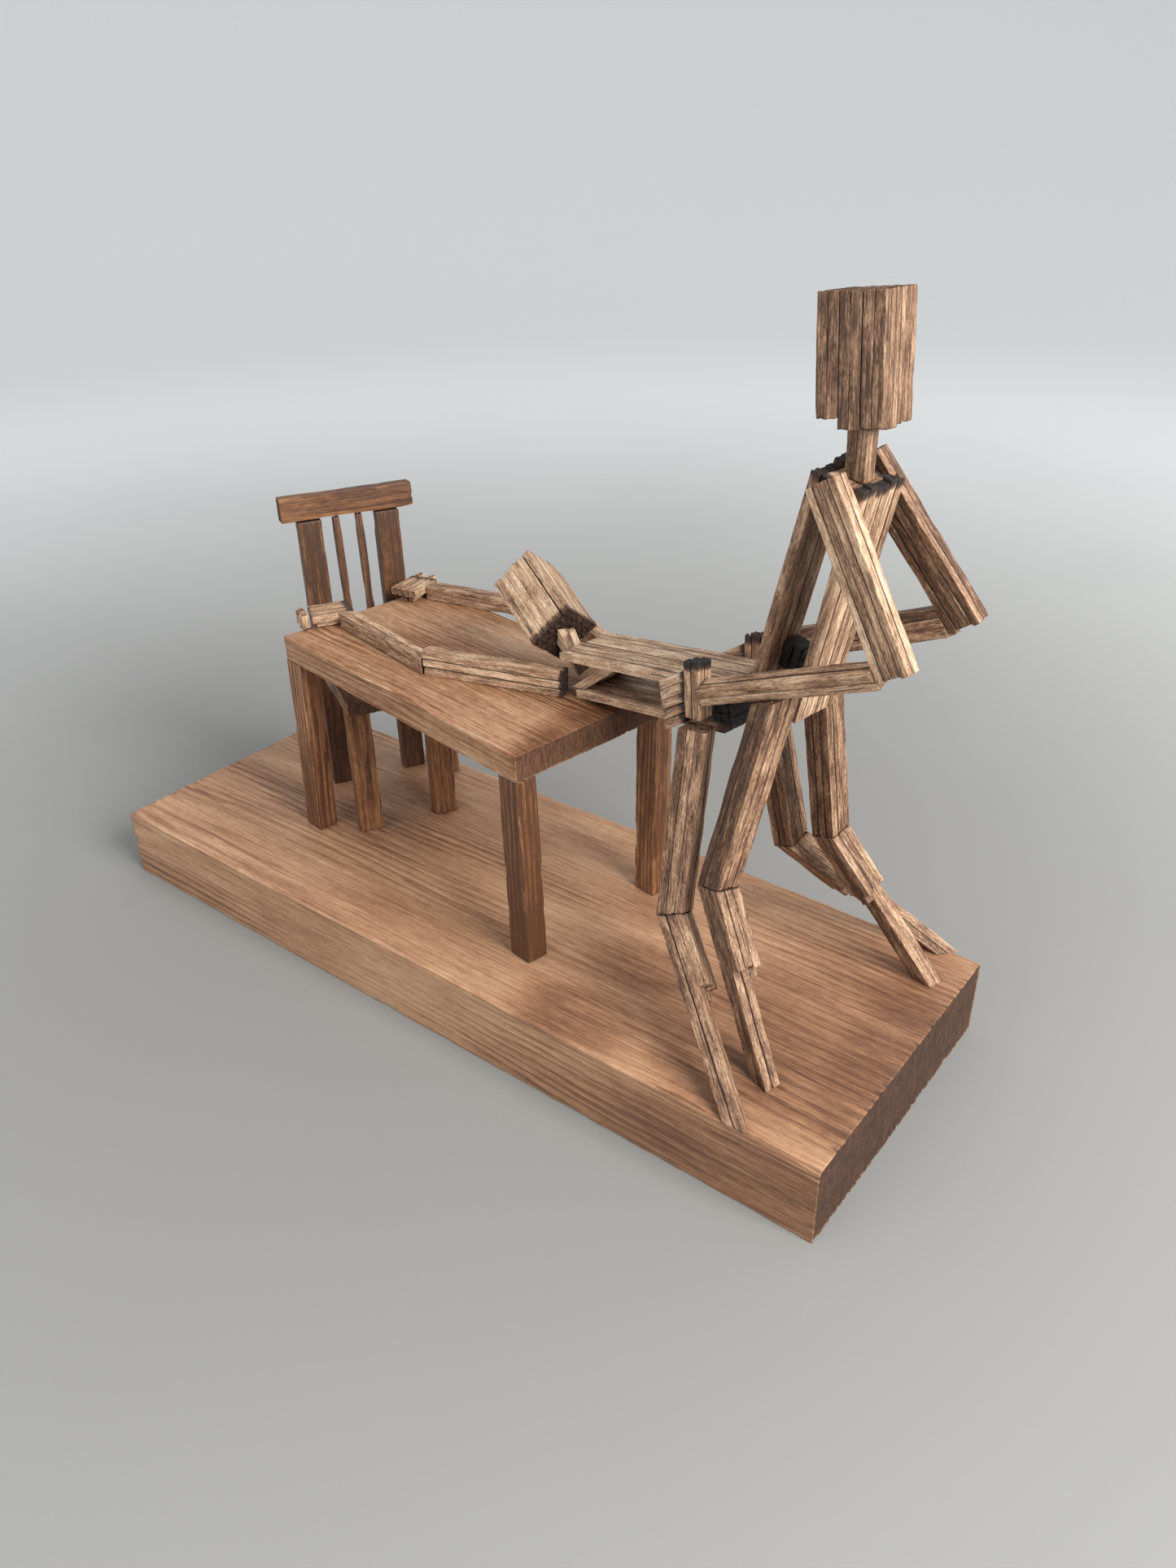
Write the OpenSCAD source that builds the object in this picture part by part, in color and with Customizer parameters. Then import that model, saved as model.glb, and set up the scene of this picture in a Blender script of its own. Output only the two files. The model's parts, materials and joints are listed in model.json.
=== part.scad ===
// Matchstick sculpture on a pine board: a table, a chair and two stick figures.
// The figures are bundles of square matchsticks glued side by side. Units are mm, +Z is up.
// X runs along the board: the chair stands at -X, the standing figure at +X.
// "Left" and "right" are each figure's own hands. Both figures face -X, so left is the -Y side.

/* [Matchsticks] */
// Side of one square matchstick
stick = 2.4; // [1.8:0.1:3]
// Side of the thinner sticks in the standing figure's arms
arm_stick = 2.1; // [1.8:0.1:3]
// Glue line between two sticks
glue = 0.05; // [0.03:0.01:0.2]

/* [Base board] */
// Length of the board
base_length = 270; // [240:1:320]
// Width of the board
base_width = 95; // [80:1:140]
// Thickness of the board
base_thick = 23.8; // [15:0.1:35]

/* [Layout] */
// Turn of the table and the figures on the board, in degrees
scene_turn = 9; // [0:0.5:12]
// Distance of the figures' middle line from the board's middle
figure_line = 19.4; // [10:0.1:22]

/* [Table] */
// Length of the table top
table_length = 113; // [100:1:125]
// Width of the table top
table_width = 59; // [50:1:70]
// Thickness of the table top
table_thick = 8.1; // [5:0.1:12]
// Height of the table top above the board
table_rise = 68.8; // [68:0.1:70]
// Centre of the table, along and across
table_centre = [-19.2, 4.3]; // [-40:0.1:10]
// Section of a table leg, along and across the table
table_leg = [7.9, 6.9]; // [5:0.1:12]
// How far the legs' feet stand in or out, along and across the table
table_feet = [[-0.6, -1.3], [-1.2, 1.9], [0.6, -1.2], [-0.4, -0.6]]; // [-3:0.1:3]

/* [Chair] */
// Centre of the chair on the board
chair_centre = [-69.4, 16.5]; // [-80:0.1:-60]
// Turn of the chair, in degrees
chair_turn = 28; // [20:1:36]
// Outer width of the chair over its legs
chair_width = 34; // [28:0.5:40]
// Depth of the chair, over its legs
chair_depth = 41.5; // [34:0.5:46]
// Section of a chair leg, front to back and sideways
chair_leg = [5, 7.8]; // [4:0.1:9]
// Underside of the seat above the board
seat_rise = 44.8; // [38:0.1:50]
// Thickness of the seat
seat_thick = 5; // [3:0.1:7]
// Height of the posts above the board, up to the top rail
post_rise = 95; // [85:0.5:110]
// How far the back leans out at the top rail
back_lean = 6.5; // [0:0.5:12]
// Top rail: thickness, length and height
top_rail = [5, 44.5, 7.9]; // [3:0.1:60]
// Centres of the two spindles, from the chair's middle line
spindle_at = [-3, 4.7]; // [-8:0.1:8]
// How far the seat stands out past the legs, at the front and at the back
seat_overhang = 3; // [0:0.5:6]

/* [Heads] */
// Height of a head
head_height = 26.7; // [20:0.1:32]
// Sticks along each side of a head
head_sticks = 6; // [4:1:8]

/* [Standing figure] */
// Bottom of the torso, between its panels: along, sideways, up
standing_hips = [87.7, 0, 112.1]; // [0:0.1:200]
// Lean of the torso, in degrees
standing_lean = 15; // [0:0.5:25]
// Length of the torso panels
standing_torso = 60; // [50:0.5:62]
// Sticks side by side in its back panel; the chest panel has one less
standing_wide = 6; // [4:1:7]
// Centre and tilt of the head
standing_head = [101.5, -0.1, 191.9]; // [-5:0.1:200]
standing_head_tilt = [-3.5, -5.8, 10]; // [-20:0.1:20]
// Left hip, knee and foot
standing_left_leg = [[93.8, -12, 117.2], [87.4, -22, 66.5], [114.8, -30.2, 23.8]]; // [-50:0.1:200]
// Right hip, knee and foot
standing_right_leg = [[89, 11.9, 116], [89.4, 22, 64.2], [120.6, 30.6, 23.8]]; // [-50:0.1:200]
// Left shoulder, elbow and wrist
standing_left_arm = [[100.8, -9.6, 169], [123.8, -9.8, 131.3], [73.1, -13.6, 112.5]]; // [-50:0.1:200]
// Right shoulder, elbow and wrist
standing_right_arm = [[97.6, 9.6, 170], [122.7, 19.1, 134.5], [71.6, 12, 115.9]]; // [-50:0.1:200]
// Bottom and top of the left palm, and the middle of its finger tips
standing_left_hand = [[71, 104.8], [70, 120.6], [60.7, 105.1]]; // [50:0.1:130]
// The same for the right hand
standing_right_hand = [[69.5, 103.8], [68.5, 119.6], [59.2, 104.1]]; // [50:0.1:130]

/* [Leaning figure] */
// Bottom of the torso, between its panels
leaning_hips = [76.7, -0.5, 107.7]; // [-5:0.1:150]
// Lean of the torso, in degrees
leaning_lean = -99; // [-100:0.5:-98]
// Length of the back panel, and of the shorter chest panel
leaning_torso = [61, 56]; // [50:0.5:62]
// Sticks side by side in its chest or back panel
leaning_wide = 8; // [5:1:8]
// Centre and tilt of the head
leaning_head = [0.3, -0.9, 111.6]; // [-20:0.1:120]
leaning_head_tilt = [-57, -44.5, 51.5]; // [-60:0.1:60]
// Left hip, knee and foot
leaning_left_leg = [[72.6, -15, 103.2], [75.6, -25, 53.4], [115.8, -44.2, 23.8]]; // [-50:0.1:200]
// Right hip, knee and foot
leaning_right_leg = [[70.8, 14, 102.4], [74.4, 25, 53.4], [114.3, 44.6, 23.8]]; // [-50:0.1:200]
// Left shoulder, elbow and wrist
leaning_left_arm = [[19.5, -10.8, 96.4], [-21.5, -28.9, 96.4], [-67.7, -25.6, 95.1]]; // [-100:0.1:200]
// Right shoulder, elbow and wrist
leaning_right_arm = [[19.5, 10.8, 96.4], [-23, 24.4, 96.4], [-68.5, 7.9, 95.1]]; // [-100:0.1:200]
// Middle of the left hand, and of the right hand
leaning_hands = [[-73.9, -28], [-72.8, 5]]; // [-100:0.1:50]

/* [Hidden] */

pitch = stick + glue;
base_top = base_thick;
table_under = base_top + table_rise - table_thick;
seat_under = base_top + seat_rise;
seat_top = seat_under + seat_thick;
post_top = base_top + post_rise;
post_shift = 1.2;      // how far the chair's back is out of true, sideways
rail_gap = 0.35;       // glue between the posts and the top rail
spindle_set = [1.6, 0.6];   // how far the spindles stand before the posts' middle, at foot and top
post_front = -(chair_depth - chair_leg.x) / 2 - back_lean * seat_rise / post_rise + chair_leg.x / 2 + 0.1;
post_inside = chair_width / 2 - chair_leg.y - 0.1;
reach = 14;   // how far a stick is drawn past a slanted cut
slab = 60;    // side of the block that makes a slanted cut
fit = 0.05;   // clearance where two bundles lie side by side
torso_hollow = 3 * pitch + 0.5;   // between a figure's chest and back panels
standing_side = standing_wide * pitch / 2;
leaning_side = leaning_wide * pitch / 2;
table_top_z = base_top + table_rise;
palm_back = [-1, 0, -0.063];   // normal of the cut where a forearm meets the palm
hand_turn = [0.94, 0.34];      // cosine and sine of the leaning hands' turn on the table
shoulder_drop = 2.3;           // the shoulder block lies this far below the torso's top
neck_drop = 2.2;               // and the neck starts this far below it
chest_out = [0.45, 1.2];       // the standing chest panel lies this much further out
chest_slant = 0.5;             // each of its sticks ends this much lower than the next
back_out = [2.6, 0];           // its back panel spreads towards the hips
hip_stick = 2.5;               // slightly thicker sticks fill the wider hollow at its hips
hip_sides = [-1.2, 4.4];       // where that short block begins and ends, sideways
hip_shift = 0.65;              // and its middle, front to back
shoulder_stick = 2.85;         // the shoulder block has three columns of thicker sticks
shoulder_block_at = standing_torso - shoulder_drop - 2 * (shoulder_stick + glue);
head_step = 1.8;               // the standing head's front columns end this much higher
leaning_nape = [15.4, -2.4, 101.4];   // where the leaning figure's neck leaves its shoulders
arm_face = [1, 0, 0.4];        // the broad side of the standing figure's upper arms
hip_block_at = [6.2, -3.5];      // start of the hip blocks along the standing and the leaning torso
strut = [55, 41];              // where the slanting struts meet the chest and the back panel
outer_sides = [-12.85, 11.85]; // middles of the standing figure's hands, sideways
palm_length = 7;               // half the length of the sticks across a leaning hand
under_length = 5;              // half the length of the sticks below them
stub_at = 8.6;                 // distance of the upright stubs from the middle of a leaning hand
calf_step = 5;                 // the calf sticks end at heights up to this far apart
rough_cut = 1.2;               // uneven ends of the panels and palms
fine_cut = 0.7;                // uneven ends of the blocks and arms

// Wood colours, only for this view
pine = [0.66, 0.46, 0.30];
dark_pine = [0.52, 0.33, 0.20];
match = [0.70, 0.58, 0.43];
charred = [0.22, 0.19, 0.17];

// ---- geometry helpers ----

function unit(v) = v / norm(v);
// The part of v square to the unit vector u, made a unit vector
function square_to(v, u) = unit(v - (v * u) * u);
function place(o, w, d, u) = [
    [w.x, d.x, u.x, o.x],
    [w.y, d.y, u.y, o.y],
    [w.z, d.z, u.z, o.z],
    [0, 0, 0, 1]
];
// A small repeatable unevenness for hand-cut ends, between 0 and 1
function uneven(i) = abs(sin(i * 137 + 41));
// Where a turned body's own Z axis points
function axis_of(tilt) = [
    sin(tilt.z) * sin(tilt.x) + cos(tilt.z) * cos(tilt.x) * sin(tilt.y),
    -cos(tilt.z) * sin(tilt.x) + sin(tilt.z) * cos(tilt.x) * sin(tilt.y),
    cos(tilt.x) * cos(tilt.y)
];

// Everything that stands square to the table
module on_scene() {
    rotate([0, 0, -scene_turn]) children();
}
module on_figures() {
    on_scene() translate([0, figure_line, 0]) children();
}

// Takes away what lies past a plane through p, on the side that n points to
module beyond(p, n) {
    u = unit(n);
    w = square_to(abs(u.z) < 0.9 ? [0, 0, 1] : [0, 1, 0], u);
    multmatrix(place(p, w, cross(u, w), u)) translate([-slab / 2, -slab / 2, 0]) cube(slab);
}

// One square stick in place [i, j] of a bundle that is "wide" by "deep" sticks and runs from a to b.
// na and nb are the normals of its slanted end cuts, side points across the bundle's width.
module one_stick(a, b, side, wide, deep, i, j, na, nb, size, shorter) {
    u = unit(b - a);
    w = square_to(side, u);
    step = size + glue;
    cut_a = is_undef(na) ? 0 : reach;
    cut_b = is_undef(nb) ? 0 : reach;
    difference() {
        multmatrix(place(a, w, cross(u, w), u))
            translate([(i - wide / 2) * step + glue / 2, (j - deep / 2) * step + glue / 2, -cut_a])
                cube([size, size, norm(b - a) + cut_a + cut_b - shorter]);
        if (!is_undef(na)) beyond(a, na);
        if (!is_undef(nb)) beyond(b, nb);
    }
}

// A whole bundle. "ragged" shortens single sticks at the b end.
module bundle(a, b, side, wide, deep, na = undef, nb = undef, ragged = 0, size = stick) {
    for (i = [0 : wide - 1], j = [0 : deep - 1])
        one_stick(a, b, side, wide, deep, i, j, na, nb, size, ragged * uneven(i * 3 + j * 5 + wide));
}

// One sawn timber from a to b, cut level at both ends
module timber(a, b, side, wide, deep) {
    u = unit(b - a);
    w = square_to(side, u);
    difference() {
        multmatrix(place(a, w, cross(u, w), u))
            translate([-wide / 2, -deep / 2, -reach])
                cube([wide, deep, norm(b - a) + 2 * reach]);
        beyond(a, [0, 0, -1]);
        beyond(b, [0, 0, 1]);
    }
}

// ---- board, table and chair ----

module base_board() {
    color(pine)
        translate([-base_length / 2, -base_width / 2, 0])
            cube([base_length, base_width, base_thick]);
}

module on_table() {
    on_scene() translate([table_centre.x, table_centre.y, 0]) children();
}

module table_top() {
    color(pine)
        on_table()
            translate([-table_length / 2, -table_width / 2, table_under])
                cube([table_length, table_width, table_thick]);
}

// Leg 0 is front left, 1 front right, 2 back right and 3 back left, seen from -Y
module table_leg_at(k) {
    sx = (k == 1 || k == 2) ? 1 : -1;
    sy = (k >= 2) ? 1 : -1;
    at = [sx * (table_length - table_leg.x) / 2, sy * (table_width - table_leg.y) / 2];
    top = [at.x, at.y, table_under];
    foot = [at.x + table_feet[k].x, at.y + table_feet[k].y, base_top];
    color(pine)
        on_table()
            timber(foot, top, [1, 0, 0], table_leg.x, table_leg.y);
}

module on_chair() {
    translate([chair_centre.x, chair_centre.y, 0]) rotate([0, 0, -chair_turn]) children();
}

// Two planks: one in front of the posts, and one between them
module chair_seat() {
    seat_end = chair_depth / 2 + seat_overhang;
    color(dark_pine)
        on_chair() {
            translate([post_front, -chair_width / 2, seat_under])
                cube([seat_end - post_front, chair_width, seat_thick]);
            translate([-seat_end, post_shift / 2 - post_inside, seat_under])
                cube([post_front - glue + seat_end, 2 * post_inside, seat_thick]);
        }
}

module chair_front_leg(s) {
    color(dark_pine)
        on_chair()
            translate([chair_depth / 2 - chair_leg.x,
                       s * (chair_width - chair_leg.y) / 2 - chair_leg.y / 2, base_top])
                cube([chair_leg.x, chair_leg.y, seat_rise]);
}

module chair_back_post(s) {
    y = s * (chair_width - chair_leg.y) / 2;
    foot = [-(chair_depth - chair_leg.x) / 2, y, base_top];
    top = [foot.x - back_lean, y + post_shift, post_top];
    color(dark_pine)
        on_chair()
            timber(foot, top, [1, 0, 0], chair_leg.x, chair_leg.y);
}

module chair_spindles() {
    lean = back_lean / post_rise;
    foot_x = -(chair_depth - chair_leg.x) / 2;
    color(dark_pine)
        on_chair()
            for (y = spindle_at)
                timber([foot_x - lean * (seat_top - base_top) + spindle_set[0], y, seat_top],
                       [foot_x - back_lean + spindle_set[1], y, post_top], [1, 0, 0], stick, stick);
}

module chair_top_rail() {
    lean = atan(back_lean / post_rise);
    color(dark_pine)
        on_chair()
            translate([-(chair_depth - chair_leg.x) / 2 - back_lean, post_shift, post_top + rail_gap])
                rotate([0, -lean, 0])
                    translate([-top_rail.x / 2, -top_rail.y / 2, 0])
                        cube(top_rail);
}

// ---- parts that both figures share ----

// A torso's own frame: +Z runs from hips to shoulders and +X points to its back
module torso_at(hips, lean) {
    on_figures() translate(hips) rotate([0, lean, 0]) children();
}

// One panel: a single layer of sticks, chest at way -1 and back at way 1. "out" moves it away
// from the middle, at the hips and at the shoulders. "slant" cuts its shoulders lower on the left.
module torso_panel(way, wide, length, out = [0, 0], slant = 0) {
    at = way * (torso_hollow + stick) / 2;
    color(match)
        for (i = [0 : wide - 1])
            one_stick([at + way * out[0], 0, 0], [at + way * out[1], 0, length], [0, 1, 0], wide, 1,
                      i, 0, undef, undef, stick, slant * (wide - 1 - i) + rough_cut * uneven(i * 3 + wide));
}

// Short sticks laid across, between the two panels, from one side to the other
module torso_block(from, columns, rows, sides, size = stick, middle = 0) {
    level = from + rows * (size + glue) / 2;
    color(charred)
        bundle([middle, sides[1], level], [middle, sides[0], level], [1, 0, 0], columns, rows,
               ragged = fine_cut, size = size);
}

// A head is cut clean at its "clean" end, 1 for the crown. At the other end its sticks are uneven,
// and its two front columns are shorter by "step".
module head(centre, tilt, clean, step) {
    from = [0, 0, clean * head_height / 2];
    color(match)
        on_figures()
            translate(centre) rotate(tilt)
                for (i = [0 : head_sticks - 1], j = [0 : head_sticks - 1])
                    one_stick(from, -from, [1, 0, 0], head_sticks, head_sticks, i, j, undef, undef,
                              stick, (i < 2 ? step : 0) + fine_cut * uneven(i * 3 + j * 5));
}

// The two slanted cuts of a knee lie in the plane that halves its angle
function knee_cut(leg) = unit(leg[1] - leg[0]) + unit(leg[2] - leg[1]);
function leg_side(leg, roll) = square_to([cos(roll), sin(roll), 0], unit(leg[2] - leg[1]));

module thigh(leg, roll, top_cut = undef) {
    color(match)
        on_figures()
            bundle(leg[0], leg[1], [cos(roll), sin(roll), 0], 3, 3, na = top_cut, nb = knee_cut(leg));
}

// The lower leg is three sticks by three at the knee. Four of them, on its front and on
// the side "out" (1 is +Y), reach down to the board.
module shin(leg, roll, out) {
    color(match)
        on_figures()
            for (i = [0, 1], j = [0, 1])
                one_stick(leg[1], leg[2], leg_side(leg, roll), 3, 3, i, out < 0 ? 2 - j : j,
                          -knee_cut(leg), [0, 0, -1], stick, 0);
}

// The other five end below the knee, at different heights
module calf(leg, roll, out, length) {
    below = norm(leg[2] - leg[1]) - length;
    color(match)
        on_figures()
            for (i = [0 : 2], j = [0 : 2])
                if (i == 2 || j == 2)
                    one_stick(leg[1], leg[2], leg_side(leg, roll), 3, 3, i, out < 0 ? 2 - j : j,
                              -knee_cut(leg), undef, stick, below + calf_step * uneven(i + 2 * j));
}

// Upper arm, its broad face outwards
module upper_arm(arm, wide, across, size) {
    color(match)
        on_figures()
            bundle(arm[0], arm[1], across, wide, 2, ragged = fine_cut, size = size);
}

// ---- standing figure ----

module standing_torso_at() {
    torso_at(standing_hips, standing_lean) children();
}

module standing_neck() {
    up = axis_of(standing_head_tilt);
    shoulder = standing_hips
        + (standing_torso - neck_drop) * [sin(standing_lean), 0, cos(standing_lean)];
    color(match)
        on_figures()
            bundle(shoulder, standing_head - up * (head_height / 2 + fit), [1, 0.15, 0], 2, 2,
                   na = [-sin(standing_lean), 0, -cos(standing_lean)], nb = up);
}

// The forearm butts against the front edge of the upper arm, just above its end
module standing_forearm(arm, roll, high, above) {
    u = unit(arm[1] - arm[0]);
    w = square_to(arm_face, u);
    elbow = arm[1] - u * above - w * (2 * (arm_stick + glue) + fit);
    color(match)
        on_figures()
            bundle(arm[2], elbow, [0, cos(roll), sin(roll)], 2, high, na = palm_back, nb = w);
}

// A palm of four upright sticks, and a stack of short sticks for the fingers before it
module standing_hand(hand, side) {
    foot = [hand[0].x, side, hand[0].y];
    top = [hand[1].x, side, hand[1].y];
    tips = [hand[2].x, side, hand[2].y];
    knuckles = foot + (top - foot) * 0.33 - [pitch + fit, 0, 0];
    color(match)
        on_figures() {
            bundle(foot, top, [1, 0, 0], 2, 2, ragged = rough_cut);
            bundle(knuckles, tips, [0, 1, 0], 2, 5, na = [1, 0, 0.063], nb = [-1, 0, -0.2]);
        }
}

// ---- leaning figure ----

module leaning_torso_at() {
    torso_at(leaning_hips, leaning_lean) children();
}

module leaning_neck() {
    up = axis_of(leaning_head_tilt);
    color(match)
        on_figures()
            bundle(leaning_nape, leaning_head - up * (head_height / 2 + fit), [0, 1, 0.2], 2, 2,
                   na = [cos(leaning_lean + 90), 0, -sin(leaning_lean + 90)], nb = up);
}

// Slanting struts between the two panels, near the shoulders
module leaning_brace(from, wide) {
    reach_in = torso_hollow / 2 - fit;
    color(match)
        leaning_torso_at()
            bundle([-reach_in, from + wide * pitch / 2, strut[0]],
                   [reach_in, from + wide * pitch / 2, strut[1]],
                   [0, 1, 0], wide, 1, na = [-1, 0, 0], nb = [1, 0, 0]);
}

// The forearm lies flat on the table
module leaning_forearm(arm, side) {
    elbow = [arm[1].x, arm[1].y, arm[2].z];
    upper = unit(arm[1] - arm[0]);
    color(match)
        on_figures()
            bundle(elbow + upper * fit, arm[2], [0, 1, 0], 2, 2, na = -upper,
                   nb = [-hand_turn.x, -side * hand_turn.y, 0]);
}

// A flat hand: sticks laid across the wrist, on short stubs that stand on the table
module leaning_hand(centre, side) {
    along = [-hand_turn.y, side * hand_turn.x, 0];
    across = [hand_turn.x, side * hand_turn.y, 0];
    plate = [centre.x, centre.y, table_top_z + 1.5 * pitch];
    under = plate - [0, 0, pitch];
    color(match)
        on_figures() {
            bundle(plate - along * palm_length, plate + along * palm_length, [1, 0, 0], 4, 1,
                   ragged = rough_cut);
            bundle(under - along * under_length, under + along * under_length, [1, 0, 0], 2, 1);
            for (k = [-1.5, 0.5])
                translate(plate + k * pitch * across + along * stub_at)
                    translate([-stick / 2, -stick / 2, -1.5 * pitch + glue])
                        cube([stick, stick, 1.9 * pitch]);
        }
}

base_board();
table_top();
table_leg_at(0);  // table_leg_front_left
table_leg_at(1);  // table_leg_front_right
table_leg_at(2);  // table_leg_back_right
table_leg_at(3);  // table_leg_back_left
chair_seat();
chair_front_leg(1);  // chair_front_leg_left
chair_front_leg(-1);  // chair_front_leg_right
chair_back_post(1);  // chair_back_post_left
chair_back_post(-1);  // chair_back_post_right
chair_spindles();
chair_top_rail();
head(standing_head, standing_head_tilt, 1, head_step);
standing_neck();
standing_torso_at() torso_block(shoulder_block_at, 3, 2, standing_side * [-1, 1],  // standing_shoulder_block
                                    shoulder_stick, -chest_out[1] / 2);
standing_torso_at() translate([0, -pitch / 2, 0])  // standing_chest_panel
        torso_panel(-1, standing_wide - 1, standing_torso, chest_out, chest_slant);
standing_torso_at() torso_panel(1, standing_wide, standing_torso, back_out);  // standing_back_panel
standing_torso_at() torso_block(hip_block_at[0], 4, 3, hip_sides, hip_stick, hip_shift);  // standing_hip_block
upper_arm(standing_left_arm, 4, arm_face, arm_stick);  // standing_left_upper_arm
standing_forearm(standing_left_arm, 28, 2, 2);  // standing_left_forearm
standing_hand(standing_left_hand, outer_sides[0]);
upper_arm(standing_right_arm, 4, arm_face, arm_stick);  // standing_right_upper_arm
standing_forearm(standing_right_arm, 0, 3, 3);  // standing_right_forearm
standing_hand(standing_right_hand, outer_sides[1]);
thigh(standing_left_leg, -14, [-0.38, 0, 0.92]);  // standing_left_thigh
shin(standing_left_leg, -10, -1);  // standing_left_shin
calf(standing_left_leg, -10, -1, 25);  // standing_left_calf
thigh(standing_right_leg, 0);  // standing_right_thigh
shin(standing_right_leg, 0, 1);  // standing_right_shin
calf(standing_right_leg, 0, 1, 23);  // standing_right_calf
head(leaning_head, leaning_head_tilt, -1, 0);
leaning_neck();
leaning_brace(-1.4 * pitch, 4);  // leaning_shoulder_block
leaning_torso_at() torso_panel(-1, leaning_wide, leaning_torso[1]);  // leaning_chest_panel
leaning_torso_at() torso_panel(1, leaning_wide, leaning_torso[0]);  // leaning_back_panel
leaning_brace(-3.6 * pitch, 1);  // leaning_torso_brace
leaning_torso_at() torso_block(hip_block_at[1], 3, 3, leaning_side * [-1, 1]);  // leaning_hip_block
upper_arm(leaning_left_arm, 3, [0, 0, 1], stick);  // leaning_left_upper_arm
leaning_forearm(leaning_left_arm, -1);  // leaning_left_forearm
leaning_hand(leaning_hands[0], -1);  // leaning_left_hand
upper_arm(leaning_right_arm, 3, [0, 0, 1], stick);  // leaning_right_upper_arm
leaning_forearm(leaning_right_arm, 1);  // leaning_right_forearm
leaning_hand(leaning_hands[1], 1);  // leaning_right_hand
thigh(leaning_left_leg, 18);  // leaning_left_thigh
shin(leaning_left_leg, 10, -1);  // leaning_left_shin
calf(leaning_left_leg, 10, -1, 25);  // leaning_left_calf
thigh(leaning_right_leg, 0);  // leaning_right_thigh
shin(leaning_right_leg, 0, 1);  // leaning_right_shin
calf(leaning_right_leg, 0, 1, 23);  // leaning_right_calf
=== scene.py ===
"""Looks of the matchstick sculpture: every CAD stick and board is rebuilt as worn, hand-cut wood.

Each node of the frame is read back as its separate solids. A solid is a straight piece with flat
sides and cut ends, so a finer mesh is swept along it inside the same faces, with rounded edges,
grooves, ragged ends and burnt tips. The scene is in metres, in the frame's own axes. Tables whose
comment says so are in millimetres.
"""

import json
import math

import bmesh
import bpy
import numpy as np
from mathutils import Euler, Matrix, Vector


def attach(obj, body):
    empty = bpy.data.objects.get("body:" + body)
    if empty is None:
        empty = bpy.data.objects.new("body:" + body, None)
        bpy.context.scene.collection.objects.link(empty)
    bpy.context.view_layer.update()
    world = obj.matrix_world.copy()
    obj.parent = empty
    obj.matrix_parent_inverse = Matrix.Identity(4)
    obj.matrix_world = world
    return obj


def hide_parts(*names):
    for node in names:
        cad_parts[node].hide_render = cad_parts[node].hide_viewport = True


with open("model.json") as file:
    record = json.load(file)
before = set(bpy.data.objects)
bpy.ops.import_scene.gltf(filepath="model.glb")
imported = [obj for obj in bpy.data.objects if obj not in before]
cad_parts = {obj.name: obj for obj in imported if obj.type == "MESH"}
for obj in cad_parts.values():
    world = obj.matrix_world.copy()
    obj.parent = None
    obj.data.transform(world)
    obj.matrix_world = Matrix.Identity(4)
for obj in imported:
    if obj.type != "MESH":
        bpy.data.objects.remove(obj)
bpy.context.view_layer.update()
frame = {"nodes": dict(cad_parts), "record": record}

MM = 0.001

# Camera: where the photographer stood, its turn in degrees, and a phone's wide lens on a sensor in mm
CAMERA_AT = Vector((213.5, -230.0, 240.1)) * MM
CAMERA_TURN = (59.855, 1.058, 37.633)
CAMERA_LENS = 27.5
CAMERA_SENSOR = 36

# The pale floor, a round dish: how far it is flat, the radius of its rise, its sides and its steps
FLOOR_FLAT = 1.1
FLOOR_RISE = 1.2
FLOOR_SIDES = 64
RISE_STEPS = 12

# The cloth's linear colours: painted shade under the object, painted light up the sweep, painted shade
# under the window light, where it tones down the pool of light, and painted shade in folds
CLOTH_NEAR = (0.268, 0.266, 0.256)
CLOTH_FAR = (0.86, 0.88, 0.88)
CLOTH_SHADE_UNDER_WINDOW = (0.17, 0.17, 0.167)
CLOTH_FOLD_SHADE = (0.24, 0.235, 0.225)

# Softboxes: place, power in watts, side and colour. All of them face a point on the object.
WINDOW_AT = (0.85, -0.12, 0.62)
LIGHTS = {
    "window": (WINDOW_AT, 15.0, 0.5, (1.0, 0.985, 0.96)),
    "front_fill": ((-0.25, -0.95, 0.5), 3.2, 0.7, (0.98, 0.99, 1.0)),
    "top": ((0.1, 0.3, 1.1), 1.1, 0.7, (1.0, 0.995, 0.99)),
}
LIGHTS_FACE = Vector((0, 0, 0.08))
SKY_COLOUR = (0.96, 0.975, 1.0, 1)
SKY_STRENGTH = 0.55

# Nodes that are sawn boards, each with the place of the tree's heart across its section, in mm
BOARD_HEARTS = {
    "base_board": (88, 62),
    "table_top": (70, 48),
    "table_leg_front_left": (19, 21),
    "table_leg_front_right": (-17, 24),
    "table_leg_back_right": (24, 16),
    "table_leg_back_left": (18, -22),
    "chair_seat": (5, 40),
    "chair_front_leg_left": (19, 14),
    "chair_front_leg_right": (-16, 18),
    "chair_back_post_left": (16, 12),
    "chair_back_post_right": (-14, 19),
    "chair_spindles": (15, 16),
    "chair_top_rail": (18, 14),
}

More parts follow.
